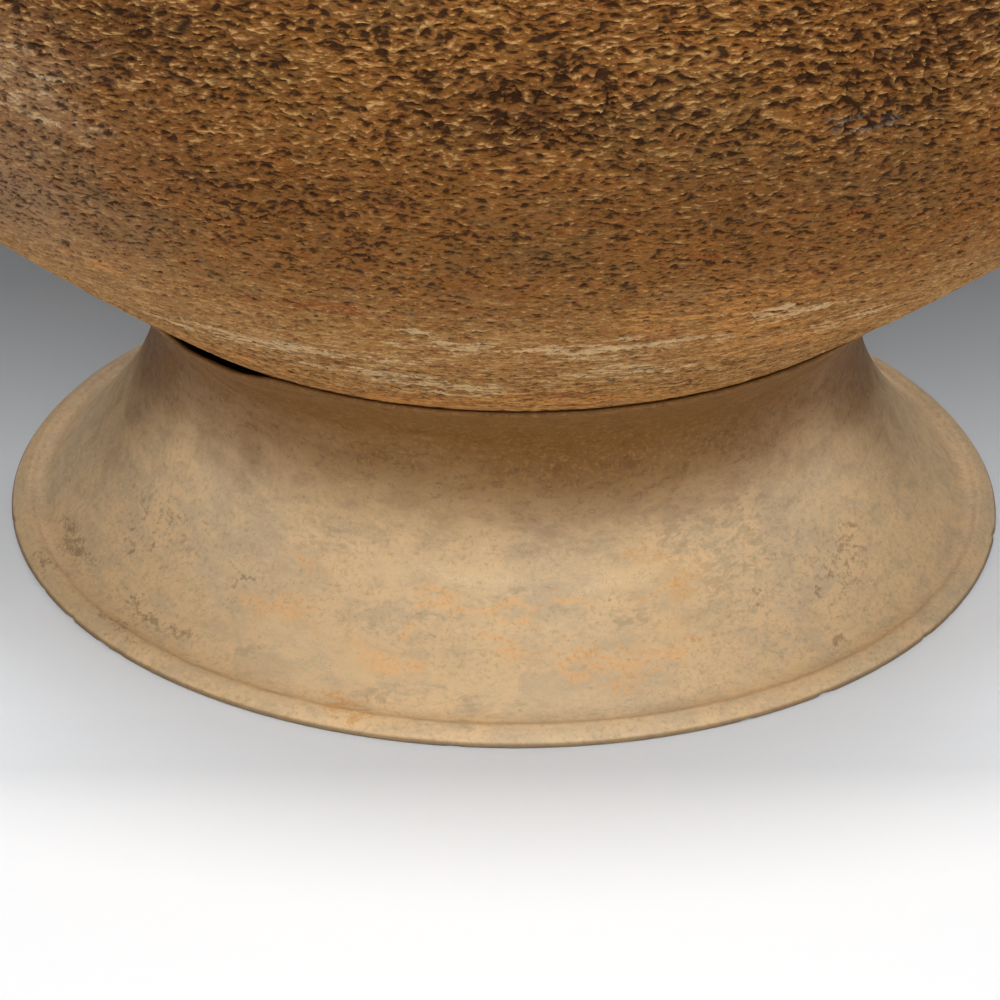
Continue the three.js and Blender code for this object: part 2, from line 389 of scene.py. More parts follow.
pot = {
    # slopes are headings in degrees, where one arc hands over to the next
    "bottomCurve": 199 * mm, "bottomSlope": 36,
    "lowerWallCurve": 1000 * mm, "lowerWallSlope": 40,
    "bellyCurve": 205 * mm,
    "shoulderCurve": 182 * mm, "shoulderSlope": 156,
    "neckCurve": 24 * mm, "neckSlope": 84,
    "mouthCurve": 60 * mm, "mouthSlope": 52, "mouthRun": 6 * mm,
    "lipRound": 3 * mm, "wall": 10 * mm,
    "seamRadius": 116 * mm,  # where the stand's rim meets the wall
    # the mesh from the bottom up: how far each stretch runs, and how far apart its rows are
    "columns": 1680,
    "bottomEnd": 70 * mm, "bottomRow": 1.2 * mm,
    "seamMargin": 6 * mm, "lowerRow": 0.8 * mm,  # to just below the stand's rim
    "bellyEnd": 352 * mm, "bellyRow": 0.4 * mm,
    "neckLength": 75 * mm, "shoulderRow": 1.0 * mm, "neckRow": 0.7 * mm, "liningRow": 2.4 * mm,
    "liningMap": 0.35,  # how closely the inside is packed on the texture map
    # the marks in the clay: how tall, long and deep each kind is, and what share of its places is marked
    "dentTall": 2.4 * mm, "dentLong": 4.6 * mm, "dentDepth": 0.85 * mm,
    "nipTall": 1.25 * mm, "nipLong": 3.0 * mm, "nipDepth": 0.65 * mm,
    "lumpTall": 1.9 * mm, "lumpLong": 5.5 * mm, "lumpDepth": 0.65 * mm,  # the worn wall near the stand
    "speckDepth": 0.35 * mm,
    "pitTall": 2.4 * mm, "pitLong": 4.8 * mm, "pitDepth": 0.9 * mm, "pitShare": 0.02, "coarsePitShare": 0.2,
    "nickTall": 1.5 * mm, "nickLong": 3.6 * mm, "nickDepth": 0.65 * mm, "nickShare": 0.14,
    "crackDepth": 1.1 * mm,
    "rubDepth": 0.3 * mm,  # worn away where the stand's rim touches
    "swellDepth": 0.5 * mm,  # broad unevenness of the belly
    "liningRings": 0.7 * mm, "liningSwell": 1.6 * mm,
    # how wide and tall the noise behind them is, and how far it sways the rows of marks
    "swayCell": (30 * mm, 20 * mm), "swayReach": 5 * mm,
    "rippleCell": (9 * mm, 7 * mm), "rippleReach": 2.4 * mm,
    "speckCell": (2.4 * mm, 1.0 * mm), "crackCell": (7 * mm, 16 * mm),
    "raggedCell": (14 * mm, 9 * mm), "swellCell": (75 * mm, 55 * mm),
    "liningRingCell": (90 * mm, 9 * mm), "liningSwellCell": (60 * mm, 50 * mm),
    # by the distance up from the middle of the bottom: from where to where each one comes or goes
    "smoothedEnd": (0.16, 0.20), "wornEnd": (0.18, 0.262),
    "rubStart": (0.110, 0.118), "rubEnd": (0.14, 0.19),
    "swellStart": (0.16, 0.24), "swellEnd": (0.60, 0.64),
    "shadeStart": (0.22, 0.25), "shadeEnd": (0.255, 0.32),
    "liningStart": (0, 0.02),  # from the lip inwards
    # by the distance up from the middle of the bottom: how deep the impressed marks are,
    # and the share of large ones
    "reliefStops": [(0, 0.3), (0.118, 0.25), (0.128, 0.35), (0.138, 0.6), (0.175, 0.7), (0.225, 0.8),
                    (0.262, 0.95), (0.295, 1.0), (0.56, 1.0), (0.60, 0.5), (0.63, 0.18), (0.70, 0.12)],
    "dentStops": [(0.20, 0.0), (0.25, 0.2), (0.285, 0.45), (0.315, 1.0)],
    # azimuth, height, wide, tall and share, as spots() takes them
    "coarseSpots": [(2, 231, 55, 26, 1.0), (22, 232, 60, 45, 1.0), (-14, 196, 50, 20, 0.7),
                    (115, 300, 140, 70, 1.0), (-130, 250, 160, 80, 1.0)],
    "paleSpots": [(-24.5, 127, 12, 7, 1.4), (-28, 124, 34, 10, 0.8), (-31.5, 122, 24, 6, 0.8),
                  (-16.5, 127, 30, 7, 0.9), (-9.3, 126.6, 24, 6, 0.9), (-13, 115, 36, 8, 0.9),
                  (-6, 104, 30, 7, 0.7), (-5.3, 146.7, 9, 6, 1.2), (-4, 138, 40, 10, 0.6),
                  (7.7, 133, 32, 9, 0.8), (10, 120, 44, 12, 0.7), (20.8, 150, 14, 7, 1.0),
                  (28.3, 134, 24, 9, 0.9), (-31, 217, 36, 38, 0.5), (-18.5, 126, 44, 10, 1.05),
                  (7.4, 137.5, 40, 9, 1.05), (-7.8, 110, 34, 8, 1.0), (21.5, 149, 34, 10, 0.8),
                  (100, 150, 80, 60, 0.4), (-150, 130, 90, 40, 0.45)],
    # the places on the next two lines hold a pale grey painted sheen, most on the pot's left flank
    "hazeSpots": [(-38, 190, 90, 110, 1.0), (-30, 218, 40, 44, 0.9), (80, 200, 130, 80, 0.6),
                  (-160, 240, 150, 90, 0.6)],
    "orangeSpots": [(20.3, 142, 26, 12, 1.3), (18, 152, 60, 20, 0.8), (24.2, 165, 6, 4, 1.2),
                    (25.2, 151, 6, 4, 1.2), (14.6, 162, 5, 4, 1.2), (26, 128, 60, 22, 0.7),
                    (8.9, 147, 10, 5, 1.0), (-31.8, 152, 24, 7, 0.9), (8, 96, 60, 14, 0.9),
                    (-12, 93, 60, 9, 1.0), (-32, 103, 50, 16, 0.8), (-95, 170, 70, 30, 0.8),
                    (160, 140, 70, 30, 0.8)],
    "darkSpots": [(-22, 244, 90, 30, 0.5), (27, 245, 60, 40, 0.55), (2, 226, 60, 14, 0.6),
                  (14, 200, 80, 22, 0.4), (-80, 290, 180, 90, 0.7), (140, 260, 180, 90, 0.7)],
    "rustSpots": [(23.5, 187, 8, 7, 1.3), (12.9, 178, 4, 3, 1.3), (-13.7, 153, 26, 5, 1.1),
                  (11.6, 144, 14, 4, 1.0), (18.3, 144, 4, 3, 1.3), (19.5, 164.6, 24, 1.6, 1.3),
                  (0.6, 114, 9, 2.4, 1.2), (1.6, 106, 5, 5, 1.1), (4.3, 102.6, 12, 1.8, 1.2),
                  (7.7, 106.6, 8, 2, 1.2), (-70, 200, 24, 12, 0.9), (100, 230, 30, 14, 0.9)],
    "slateSpots": [(21, 218.5, 5, 5, 1.2), (-10.7, 153.6, 5, 3, 0.8), (-7.1, 155, 4, 3, 0.8),
                   (-95, 240, 12, 8, 1.0)],
    "tones": {
        "ground": [(0.38, clay(130, 83, 34)), (0.5, clay(142, 92, 38)), (0.62, clay(128, 87, 40))],
        "wornWall": clay(168, 120, 64), "redTint": clay(148, 86, 38), "greenTint": clay(114, 90, 48),
        "dark": clay(90, 56, 22), "orange": clay(206, 136, 62), "pale": clay(220, 192, 146),
        "rust": clay(150, 84, 38), "slate": clay(104, 106, 102), "haze": clay(188, 165, 140),
        "paleStreak": clay(212, 172, 114), "darkStreak": clay(118, 72, 32),
        "paleStrand": clay(216, 180, 124), "darkStrand": clay(100, 60, 26),
        "rubbed": clay(192, 132, 70),  # just above the stand's rim
        "redFleck": clay(150, 84, 40), "greenFleck": clay(88, 80, 54), "grit": clay(60, 34, 12),
        # ridge and hollow: partly wear and dirt, partly painted light on the ridges and painted shade in the
        # hollows
        "ridge": clay(208, 165, 104), "hollow": clay(44, 22, 6),
    },
}


def potOutside():
    run = [(0.0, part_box("storage_pot")[0].z)]
    followArc(run, pot["bottomCurve"], 0, pot["bottomSlope"])
    followArc(run, pot["lowerWallCurve"], pot["bottomSlope"], pot["lowerWallSlope"])
    followArc(run, pot["bellyCurve"], pot["lowerWallSlope"], 90)
    followArc(run, pot["shoulderCurve"], 90, pot["shoulderSlope"])
    followArc(run, pot["neckCurve"], pot["shoulderSlope"], pot["neckSlope"])
    followArc(run, pot["mouthCurve"], pot["neckSlope"], pot["mouthSlope"])
    return run


def potInside(outside, lipTop):  # one wall behind the outside, from the lip down to the axis
    body = Outline(outside)
    radius = body.radius - pot["wall"] * np.sin(body.heading)
    height = body.height + pot["wall"] * np.cos(body.heading)
    radius[0] = 0
    slope = math.radians(pot["mouthSlope"])
    run = [(radius[-1] + (lipTop - height[-1]) / math.tan(slope), lipTop)]
    followLine(run, (radius[-1], height[-1]))
    return run + list(zip(radius[-2::-1], height[-2::-1]))


def potLip(outside):
    run = list(outside)
    slope = math.radians(pot["mouthSlope"])
    across, rise = pot["mouthRun"] * math.cos(slope), pot["mouthRun"] * math.sin(slope)
    followLine(run, (run[-1][0] + across, run[-1][1] + rise))
    followArc(run, pot["lipRound"], pot["mouthSlope"], 180)
    return run


potTints = ("pale", "orange", "dark", "rust", "slate", "haze")
potBody = potOutside()
potLipped = potLip(potBody)
potLinedRun = potInside(potBody, potLipped[-1][1])
followLine(potLipped, potLinedRun[0])
potSkin, potLining = Outline(potLipped), Outline(potLinedRun)
widest = int(np.argmax(potSkin.radius))  # up to there each radius comes once
seamAlong = float(np.interp(pot["seamRadius"], potSkin.radius[:widest], potSkin.along[:widest]))


def places(azimuth, along, outline):  # a grid of rows by columns, in metres, for noise that has no seam
    radius, height, _ = [part[:, None].astype(np.float32) for part in outline.at(along)]
    azimuth = azimuth[None, :].astype(np.float32)
    x, y = radius * np.sin(azimuth), -radius * np.cos(azimuth)
    up = np.broadcast_to(along[:, None].astype(np.float32), x.shape)
    return x, y, up, radius, height, azimuth


def potRelief(azimuth, along):
    x, y, up, radius, height, turn = places(azimuth, along, potSkin)
    sway = grainNoise(x, y, up, pot["swayCell"], 11) - 0.5
    ripple = grainNoise(x, y, up, pot["rippleCell"], 12) - 0.5
    warped = up + pot["swayReach"] * sway + pot["rippleReach"] * ripple
    broad = cloudNoise(x, y, up, pot["swellCell"], 31, 2)
    ragged = cloudNoise(x, y, up, pot["raggedCell"], 21)
    coarse = np.clip(spots(turn, height, radius, pot["coarseSpots"]) * (0.4 + 1.2 * ragged), 0, 1)
    relief = np.interp(along, *np.array(pot["reliefStops"]).T)[:, None].astype(np.float32)
    relief = np.clip(relief * (0.75 + 0.5 * ragged) * (1 + 0.35 * coarse), 0, 1.4)
    big = np.interp(along, *np.array(pot["dentStops"]).T)[:, None].astype(np.float32)
    big = np.clip(big + 0.6 * (ragged - 0.5) + 0.4 * coarse, 0, 1)
    worn = 1 - smooth(*pot["smoothedEnd"], up)
    nearSeam = smooth(*pot["rubStart"], up) * (1 - smooth(*pot["rubEnd"], up))

    large = dents(x, y, warped, pot["dentLong"], pot["dentTall"], 41)
    nips = dents(x, y, warped, pot["nipLong"], pot["nipTall"], 42)
    lumps = dents(x, y, up, pot["lumpLong"], pot["lumpTall"], 44)
    specks = grainNoise(x, y, warped, pot["speckCell"], 43)
    marks = large * big * pot["dentDepth"] + nips * blend(1, 0.5, worn) * pot["nipDepth"]
    marks = (marks + (1 - lumps) * worn * pot["lumpDepth"] + specks * pot["speckDepth"]) * relief

    ragging = 0.3 * (specks - 0.5)
    near, pick = flakeRows(turn, warped, potSkin, pot["pitTall"], pot["pitLong"], 121)
    share = pot["pitShare"] + pot["coarsePitShare"] * coarse
    pits = (pick < share) * (1 - smooth(0.08, 0.38, near + ragging))
    pits = pits * pot["pitDepth"] * np.clip(relief, 0, 1)
    near, pick = flakeRows(turn, up, potSkin, pot["nickTall"], pot["nickLong"], 131)
    nicks = (pick < pot["nickShare"]) * (1 - smooth(0.05, 0.45, near + ragging))
    nicks = nicks * pot["nickDepth"] * smooth(0.05, 0.3, relief)
    crack = np.abs(grainNoise(x, y, up, pot["crackCell"], 61) - 0.5)
    crack = (1 - smooth(0.0, 0.03, crack)) * pot["crackDepth"] * smooth(0.35, 0.7, coarse)
    local = marks + pits + nicks + crack
    swell = (1 - broad) * smooth(*pot["swellStart"], up) * (1 - smooth(*pot["swellEnd"], up))
    depth = local - pot["rubDepth"] * nearSeam + pot["swellDepth"] * swell
    turn, height = strayed(x, y, up, turn, height)
    tints = {name: spots(turn, height, radius, pot[name + "Spots"]) for name in potTints}
    return depth, {"hollow": local / mm / (0.3 + 0.7 * relief), "up": up, **tints}


def liningRelief(azimuth, along):  # the inside, drawn smooth by hand
    x, y, up, *_ = places(azimuth, along, potLining)
    rings = grainNoise(x, y, up, pot["liningRingCell"], 71) - 0.5
    broad = cloudNoise(x, y, up, pot["liningSwellCell"], 72, 2) - 0.5
    depth = (pot["liningRings"] * rings + pot["liningSwell"] * broad) * smooth(*pot["liningStart"], up)
    zero = np.zeros_like(up)
    return depth, {"hollow": zero + 0.3, "up": potSkin.length + up, **dict.fromkeys(potTints, zero)}


def makePot():
    skin = Skin()
    whole = potSkin.length + pot["liningMap"] * potLining.length
    angles = ringAngles(pot["columns"])
    cut = seamAlong - pot["seamMargin"]
    neck = potSkin.length - pot["neckLength"]
    tipMarks = {"hollow": 0.2, "up": 0, **dict.fromkeys(potTints, 0)}
    first = potSkin.rows(pot["bottomRow"], pot["bottomEnd"], pot["bottomRow"])
    skin.footTip(potSkin.height[0], first[0] / whole, tipMarks, pot["columns"] // 4)
    bands = [
        (4, first),
        (2, potSkin.rows(pot["bottomEnd"] + 1 * mm, cut, pot["lowerRow"])),
        (1, potSkin.rows(cut + pot["bellyRow"], pot["bellyEnd"], pot["bellyRow"])),
        (1, potSkin.rows(pot["bellyEnd"] + pot["shoulderRow"], neck, pot["shoulderRow"])),
        (2, potSkin.rows(neck + pot["neckRow"], potSkin.length - 0.3 * mm, pot["neckRow"])),
    ]
    for every, along in bands:
        depth, marks = potRelief(angles[::every], along)
        skin.band(angles[::every], *sink(potSkin, along, depth), along / whole, marks)
    along = potLining.rows(0.4 * mm, potLining.length - 2.5 * mm, pot["liningRow"])
    depth, marks = liningRelief(angles[::4], along)
    mapped = (potSkin.length + pot["liningMap"] * along) / whole
    skin.band(angles[::4], *sink(potLining, along, depth), mapped, marks)
    skin.tip(potLining.height[-1], 1.0, {**tipMarks, "up": potSkin.length + potLining.length})
    piece = skin.build("potBody")
    print("pot:", len(piece.data.polygons), "faces")
    return piece


def potClay():
    r = Recipe("potClay", **{"Specular IOR Level": 0.2})
    tone = pot["tones"]
    even, flat = r.place(), r.place(1.8)
    up = r.mark("up")
    broad = r.noise(even, 0.050, 4, 0.6)
    middle = r.noise(even, 0.009, 5, 0.7)
    tints = r.noise(flat, 0.0070, 4, 0.7)
    flecks = r.noise(flat, 0.0040, 3, 0.6)
    grain = r.noise(flat, 0.0034, 2, 0.6, 0.3)
    fine = r.noise(r.place(3.3), 0.0027, 2, 0.6)
    grit = r.noise(even, 0.0009, 2, 0.7)
    streaks = r.noise(r.place(5), 0.012, 5, 0.65)
    crest = r.math("ADD", r.times(grain, 0.3), r.times(fine, 0.7))
    strands = r.noise(r.place(3.5), 0.0045, 4, 0.7)
    worn = r.span(up, *pot["wornEnd"], 1, 0)

    # the ground, paler where the lower wall is worn
    colour = r.ramp(broad, tone["ground"])
    colour = r.mix(worn, colour, tone["wornWall"])
    colour = r.mix(r.span(tints, 0.52, 0.68, 0, 0.4), colour, tone["redTint"])
    colour = r.mix(r.span(tints, 0.48, 0.34, 0, 0.4), colour, tone["greenTint"])
    colour = r.mix(r.mark("dark"), colour, tone["dark"])
    paleStreak = r.times(worn, r.span(streaks, 0.50, 0.64, 0, 0.5))
    darkStreak = r.times(worn, r.span(streaks, 0.48, 0.36, 0, 0.6))
    colour = r.mix(paleStreak, colour, tone["paleStreak"])
    colour = r.mix(darkStreak, colour, tone["darkStreak"])

    # patches, from the lists in the pot's dictionary
    orange = r.mask(r.mark("orange"), streaks)
    colour = r.mix(r.times(orange, 0.6), colour, tone["orange"])
    pale = r.mask(r.mark("pale"), r.mix(0.6, middle, streaks))
    colour = r.mix(r.times(pale, 0.65), colour, tone["pale"])
    paleStrand = r.times(worn, r.span(strands, 0.53, 0.64, 0, 0.45))
    darkStrand = r.times(worn, r.span(strands, 0.47, 0.37, 0, 0.6))
    colour = r.mix(paleStrand, colour, tone["paleStrand"])
    colour = r.mix(darkStrand, colour, tone["darkStrand"])
    colour = r.mix(r.times(r.mask(r.mark("rust"), flecks), 0.7), colour, tone["rust"])
    colour = r.mix(r.times(r.mark("slate"), 0.6), colour, tone["slate"])
    rub = r.span(up, seamAlong + 8 * mm, seamAlong + 1 * mm)
    rub = r.times(rub, r.span(middle, 0.35, 0.6, 0.3, 0.9))
    colour = r.mix(rub, colour, tone["rubbed"])
    colour = r.mix(r.span(flecks, 0.60, 0.70, 0, 0.35), colour, tone["redFleck"])
    colour = r.mix(r.span(flecks, 0.40, 0.30, 0, 0.35), colour, tone["greenFleck"])
    # painted sheen: a pale grey over the pot's left flank and a few places round it
    colour = r.mix(r.times(r.mark("haze"), 0.28), colour, tone["haze"])

    # pale on the ridges between the marks and dark down in them: partly wear and dirt, partly painted light
    # on the ridges and painted shade in the hollows
    depth = r.math("ADD", r.mark("hollow"), r.times(r.math("SUBTRACT", crest, 0.5), -3.2))
    # painted shade: a band of the lower wall is darkened as if its marks were deeper
    shade = r.times(r.span(up, *pot["shadeStart"], 0.26, 0.37), r.span(up, *pot["shadeEnd"], 1, 0))
    depth = r.math("ADD", depth, shade)  # the marks are shallower there, but not paler
    colour = r.mix(r.span(depth, 0.6, 0.05, 0, 0.62), colour, tone["ridge"])
    colour = r.mix(r.span(depth, 0.78, 1.5, 0, 0.86), colour, tone["hollow"])
    colour = r.mix(r.span(grit, 0.56, 0.70, 0, 0.4), colour, tone["grit"])
    roughness = r.span(middle, 0.3, 0.7, 0.75, 0.95)
    return r.finish(colour, roughness, [(crest, 1.8 * mm), (grit, 0.3 * mm)])


# The stand: sizes as modelled, where its hand-smoothed clay is tinted, and where shade is painted on it

stand = {
    "footRadius": 140 * mm, "footEdge": 0.8 * mm,
    "lipWidth": 5.2 * mm, "lipHeight": 4.8 * mm, "lipFullness": 0.4,
    "grooveWidth": 6 * mm, "grooveDepth": 0.9 * mm, "grooveRise": 0.6 * mm,
    "waistRadius": 99 * mm, "waistHeight": 62 * mm,
    "rimRadius": 116.4 * mm, "rimHeight": 86.66 * mm, "rimEdge": 0.8 * mm,
    "lowerStraightness": 0.7, "upperStraightness": 1.3,
    "wall": 10 * mm, "seatGap": 0.4 * mm,
    "dipDepth": 1.9 * mm, "dipAzimuth": -42, "dipHalfWidth": 12,  # the low place that opens the wedge
    # the mesh, by the distance along the section: it starts inside the foot, runs out under it and up
    "columns": 1200,
    "lipStart": 18.2 * mm, "lipEnd": 36 * mm,
    "footRow": 3 * mm, "lipRow": 0.35 * mm, "flareRow": 0.5 * mm, "rimRow": 0.25 * mm,
    "seatRow": 0.9 * mm, "insideRow": 1.6 * mm,
    "insideMap": 0.4,  # how closely the inside is packed on the texture map
    # how uneven the clay is, and the pits and chips in it
    "swellDepth": 0.7 * mm, "strokeDepth": 0.10 * mm, "grainDepth": 0.06 * mm,
    "pitTall": 6 * mm, "pitLong": 9 * mm, "pitDepth": 0.35 * mm, "pitShare": 0.10,
    "chipTall": 5 * mm, "chipLong": 7 * mm, "chipDepth": 0.6 * mm, "chipShare": 0.25,  # along the foot's lip
    # how wide and tall the noise behind them is, and from where to where along the section they come or go
    "swellCell": (50 * mm, 35 * mm), "strokeCell": (22 * mm, 2.4 * mm), "grainCell": (3.5 * mm, 2.5 * mm),
    "chipStart": (17.8 * mm, 19.5 * mm), "chipEnd": (22 * mm, 26 * mm),
    "reliefStart": (21 * mm, 27 * mm), "reliefEnd": (16 * mm, 1 * mm),  # the end: counted back from the rim
    "hollowsOnly": 34 * mm,  # up to here the clay has no bumps, so that the foot stays within its outline
    # painted shade under the pot's belly: how far the upper part is darkened brown, most on the front and a
    # little to the right, and the sides
    "paintedNeckShade": {"azimuth": 14, "halfWidth": 33, "rise": (0.025, 0.066), "least": 0.9, "most": 1.08,
                 "rim": 0.15, "rimRise": (0.060, 0.080),
                 "sides": 0.5, "sidesTurn": (55, 80), "sidesRise": (0, 0.03)},
    "salmonSpots": [(-14.7, 13.1, 25, 7, 1.2), (0.4, 17.4, 13, 6, 0.9), (14.8, 14, 42, 11, 1.1),
                    (-30, 19.3, 30, 10, 1.0), (-11.7, 26.6, 8, 2.6, 1.3), (-7.9, 27.4, 9, 2, 1.2),
                    (-4, 25, 12, 2.8, 1.3), (2, 26.2, 15, 3.4, 1.4), (8.5, 28, 16, 2.8, 1.2),
                    (15, 29, 16, 2.2, 1.0), (-13.2, 20.4, 6, 1.6, 1.3), (-30, 31, 24, 10, 0.6),
                    (21.6, 35, 26, 14, 0.7), (25, 27.4, 26, 9, 0.8), (24, 20, 20, 14, 0.6),
                    (120, 24, 80, 20, 0.8), (-140, 20, 70, 16, 0.8), (175, 40, 50, 18, 0.6)],
    "ochreSpots": [(13.8, 16.6, 11, 2.4, 1.2), (24.4, 14.4, 5, 3, 1.2), (-18.3, 4.6, 22, 5, 1.0),
                   (-29.9, 88, 7, 4, 1.0), (24.4, 28, 7, 4, 0.9), (-130, 6, 30, 6, 0.8)],
    "creamSpots": [(-7.5, 31.9, 40, 6, 1.0), (13.8, 31.5, 34, 8, 1.0), (-2, 33, 30, 5, 0.9),
                   (5.2, 41.2, 1.6, 1.6, 2.0), (-36.9, 85, 1.4, 1.4, 2.0), (160, 30, 50, 12, 0.8),
                   (-26, 11, 70, 16, 0.7), (0, 9, 80, 10, 0.55)],
    "greySpots": [(-14.3, 7.2, 16, 3, 1.0), (-3, 6.3, 26, 3, 1.0), (18.5, 22.4, 14, 5, 1.0),
                  (-9, 23.5, 22, 3.5, 1.0), (-33, 9, 30, 4, 0.7), (2, 31, 44, 6, 0.6),
                  (-26, 37, 30, 10, 0.6), (140, 12, 50, 8, 0.8), (32, 34, 70, 44, 0.75)],
    "stainSpots": [(-69.5, 6.4, 26, 6, 1.1), (-49.2, 6.5, 28, 6, 1.0), (-61.2, 17.9, 3, 3, 1.3),
                   (-59.7, 15.8, 3, 3, 1.3), (-55.3, 18.1, 3, 2, 1.1), (-39.1, 21.9, 2.5, 12, 1.0),
                   (-43.5, 7.1, 6, 3, 1.2), (45.7, 6.8, 6, 4, 1.3), (52, 19, 34, 14, 0.6),
                   (-58, 24, 40, 20, 0.45), (58.2, 21, 3, 10, 1.1), (36.3, 20.6, 1.6, 6, 1.0),
                   (46, 15.4, 1.6, 4, 1.0), (150, 10, 60, 8, 0.8), (-120, 30, 60, 26, 0.5)],
    "tones": {
        "ground": [(0.38, clay(222, 191, 146)), (0.50, clay(229, 196, 150)), (0.62, clay(218, 191, 152))],
        "dull": clay(194, 172, 142), "warm": clay(236, 201, 152), "dusty": clay(182, 156, 124),
        "grey": clay(172, 152, 122), "salmon": clay(242, 190, 130), "ochre": clay(226, 166, 92),
        "cream": clay(240, 214, 170), "stain": clay(128, 92, 62),
        # the three tones on the next line are painted shade under the pot's belly
        "neckShade": clay(112, 70, 8), "neckShadePale": clay(156, 114, 62), "neckShadeDark": clay(80, 50, 10),
        "darkPepper": clay(156, 126, 90), "palePepper": clay(240, 212, 168),
        # footEdge and the last tone on the next line are painted shade: along the foot's bottom edge, and in
        # the seat
        "pit": clay(110, 84, 60), "footEdge": clay(96, 70, 40), "seatShade": clay(48, 32, 14),
    },
}
standTints = ("salmon", "ochre", "cream", "grey", "stain")


def standRadius(height):  # of the two flares, which part at the waist
    waist = stand["waistHeight"]
    if height < waist:
        endRadius = stand["footRadius"] - stand["lipWidth"] - stand["grooveWidth"]
        endHeight = stand["lipHeight"] + stand["grooveRise"]
        straightness = stand["lowerStraightness"]
    else:
        endRadius, endHeight = stand["rimRadius"], stand["rimHeight"]
        straightness = stand["upperStraightness"]
    t = (height - waist) / (endHeight - waist)
    share = (math.hypot(1, straightness * t) - 1) / (math.hypot(1, straightness) - 1)
    return stand["waistRadius"] + (endRadius - stand["waistRadius"]) * share


def standHeading(height):
    step = 0.01 * mm
    return math.atan2(2 * step, standRadius(height + step) - standRadius(height - step))


def easeBends(run, first, last, reach):  # hand-smoothed: each point moves to the middle of its neighbours
    held = np.array(run)
    for k in range(first, last):
        run[k] = tuple(held[k - reach:k + reach + 1].mean(0))


def standSection():
    foot, edge, rimTop = stand["footRadius"], stand["footEdge"], stand["rimHeight"]
    crest = (foot - stand["lipWidth"], stand["lipHeight"])
    flare = (crest[0] - stand["grooveWidth"], crest[1] + stand["grooveRise"])

    def insideRadius(height):  # one wall behind the outside
        return standRadius(height) - stand["wall"] / math.sin(standHeading(height))

    run = [(insideRadius(0), 0.0)]
    followLine(run, (foot - edge, 0.0))
    followBend(run, (foot, 0.0), (foot, edge))
    marks = {"footEnd": len(run)}
    hollow = (1 - stand["lipFullness"]) / 2
    followBend(run, (foot - hollow * stand["lipWidth"], blend(crest[1], edge, hollow)), crest)
    rise, valley = standHeading(flare[1] + 1 * mm), stand["grooveWidth"] / 3
    followBend(run, (crest[0] - valley, crest[1] - 2 * stand["grooveDepth"]),
               (flare[0] - valley * math.cos(rise), flare[1] - valley * math.sin(rise)), flare)
    groove = len(run)
    run += [(standRadius(h), h) for h in np.linspace(flare[1], rimTop, 400)[1:]]
    easeBends(run, marks["footEnd"] + 8, groove + 20, 5)
    followArc(run, stand["rimEdge"], math.degrees(standHeading(rimTop)), 180 + pot["bottomSlope"])
    marks["rimEnd"] = len(run)

    # the seat follows the pot's own wall down to where it meets the inside
    wall = Outline(potBody)
    below = int(np.argmax(wall.radius))  # up to its widest place each radius comes once

    def seatHeight(radius):
        return float(np.interp(radius, wall.radius[:below], wall.height[:below])) - stand["seatGap"]

    low, high = 0.0, rimTop
    while high - low > 0.001 * mm:
        middle = (low + high) / 2
        low, high = (middle, high) if middle < seatHeight(insideRadius(middle)) else (low, middle)
    meeting = insideRadius(low)
    run += [(r, seatHeight(r)) for r in np.linspace(run[-1][0], meeting, 140)[1:]]
    marks["seatEnd"] = len(run)
    run += [(insideRadius(h), h) for h in np.linspace(low, 0, 400)[1:]]
    section = Outline(run)
    return section, {name: section.along[k - 1] for name, k in marks.items()}


standSkin, standEnds = standSection()


def dipRim(azimuth, height):
    away = np.abs((np.degrees(azimuth) - stand["dipAzimuth"] + 180) % 360 - 180)
    away = np.minimum(away / stand["dipHalfWidth"], 1)
    waist = stand["waistHeight"]
    share = np.clip((height - waist) / (stand["rimHeight"] - waist), 0, None)
    return height - stand["dipDepth"] * (1 - smooth(0.3, 1, away)) * share


def standRelief(azimuth, along):
    x, y, up, radius, height, turn = places(azimuth, along, standSkin)
    rimEnd = standEnds["rimEnd"]
    fades = [rimEnd - before for before in stand["reliefEnd"]]
    outer = smooth(*stand["reliefStart"], up) * (1 - smooth(*fades, up))
    broad = cloudNoise(x, y, up, stand["swellCell"], 201, 2) - 0.5
    strokes = grainNoise(x, y, up, stand["strokeCell"], 202) - 0.5
    grain = cloudNoise(x, y, up, stand["grainCell"], 203) - 0.5
    near, pick = flakeRows(turn, up, standSkin, stand["pitTall"], stand["pitLong"], 211)
    pits = (pick < stand["pitShare"]) * (1 - smooth(0.02, 0.10 + 0.12 * pick, near)) * stand["pitDepth"]
    edge = smooth(*stand["chipStart"], up) * (1 - smooth(*stand["chipEnd"], up))
    near, pick = flakeRows(turn, up, standSkin, stand["chipTall"], stand["chipLong"], 221)
    chips = (pick < stand["chipShare"]) * (1 - smooth(0.05, 0.45, near + 0.5 * grain)) * stand["chipDepth"]
    depth = stand["swellDepth"] * broad + stand["strokeDepth"] * strokes + stand["grainDepth"] * grain
    depth = outer * (depth + pits)
    depth = np.where(up < stand["hollowsOnly"], np.maximum(depth, 0), depth)
    depth = depth + edge * chips
    # painted shade under the pot's belly, on the rim and round the flanks, carried by the neck mark
    dark = stand["paintedNeckShade"]
    away = (np.degrees(turn) + 180) % 360 - 180
    front = np.exp(-((away - dark["azimuth"]) / dark["halfWidth"]) ** 2)
    neck = smooth(*dark["rise"], height) * blend(dark["least"], dark["most"], front)
    neck = neck + dark["rim"] * smooth(*dark["rimRise"], height)
    sides = smooth(*dark["sidesTurn"], np.abs(away)) * smooth(*dark["sidesRise"], height)
    neck = neck + dark["sides"] * sides
    turn, height = strayed(x, y, up, turn, height)
    tints = {name: spots(turn, height, radius, stand[name + "Spots"]) for name in standTints}
    return depth, {"up": up, "neck": neck, "hollow": pits / mm, **tints}


